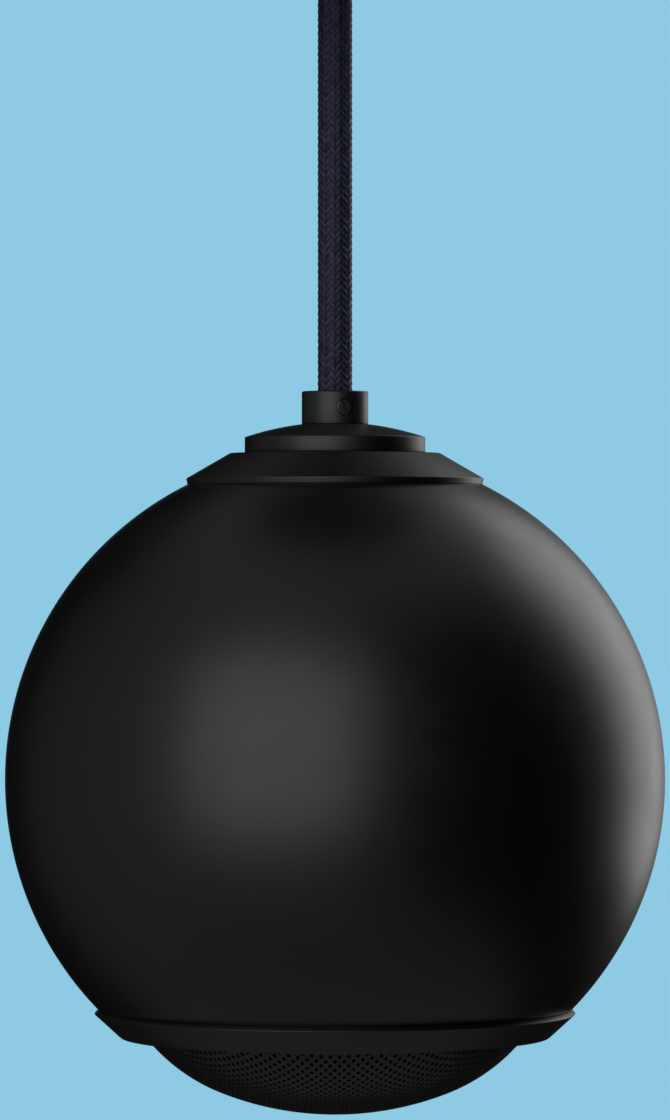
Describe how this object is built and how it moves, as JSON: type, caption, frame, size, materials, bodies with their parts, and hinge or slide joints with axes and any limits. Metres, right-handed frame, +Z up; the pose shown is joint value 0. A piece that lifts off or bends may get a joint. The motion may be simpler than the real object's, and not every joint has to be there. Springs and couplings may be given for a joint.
{
  "type": "pendant speaker",
  "caption": "Spherical pendant speaker on a braided cord, with a ceiling rose, a stepped top flange, a bevelled bezel and a domed perforated grille facing down.",
  "frame": {"origin": "on the cord's axis at the ceiling plane, midway between the two ceiling screw holes", "axes": "+Z up along the cord, +X along the ceiling bracket's two screw holes, the front seen in the picture faces -Y"},
  "size_m": [0.12, 0.12, 0.2358],
  "materials": {
    "powder_coat": "matte",
    "satin_black": "satin",
    "cord_braid": "matte",
    "zinc_steel": "satin",
    "black_screw": "satin",
    "terminal_plastic": "satin",
    "brass_screw": "satin",
    "core_insulation": "satin",
    "basket_steel": "satin",
    "foam_gasket": "matte",
    "surround_rubber": "matte",
    "cone_paper": "matte",
    "spider_cloth": "matte",
    "former_card": "matte",
    "copper_wire": "gloss",
    "ferrite": "matte",
    "fibre_board": "matte",
    "liner_wadding": "matte"
  },
  "bodies": {
    "pendant": {"ceiling_bracket": "zinc_steel", "ceiling_cup": "powder_coat", "cup_screws": "black_screw", "terminal_block": "terminal_plastic", "terminal_screws": "brass_screw", "block_screw": "zinc_steel", "rose_leads": "core_insulation", "rose_grip": "satin_black", "rose_grip_screw": "zinc_steel", "rose_washer": "zinc_steel", "rose_nut": "zinc_steel", "cord": "cord_braid", "cord_grip": "satin_black", "grip_screw": "zinc_steel", "cap_disc": "powder_coat", "base_flange": "powder_coat", "shell": "powder_coat", "clamp_washer": "zinc_steel", "clamp_nut": "zinc_steel", "seat_ring": "basket_steel", "bezel": "powder_coat", "grille": "powder_coat", "front_gasket": "foam_gasket", "seal_gasket": "foam_gasket", "driver_frame": "basket_steel", "driver_screws": "black_screw", "surround": "surround_rubber", "spider": "spider_cloth", "front_plate": "zinc_steel", "magnet": "ferrite", "back_yoke": "zinc_steel", "terminal_strip": "fibre_board", "tinsel_leads": "copper_wire", "inner_leads": "core_insulation", "lead_connectors": "zinc_steel", "damping_liner": "liner_wadding"},
    "cone_assembly": {"cone": "cone_paper", "dust_cap": "cone_paper", "coil_former": "former_card", "voice_coil": "copper_wire"}
  },
  "joints": [
    {"name": "cone_travel", "type": "slide", "parent": "pendant", "child": "cone_assembly", "axis": [0, 0, -1], "range_m": [-0.0025, 0.0025], "stiffness_N_per_m": 1000, "deforming": ["surround", "spider", "tinsel_leads"]}
  ]
}
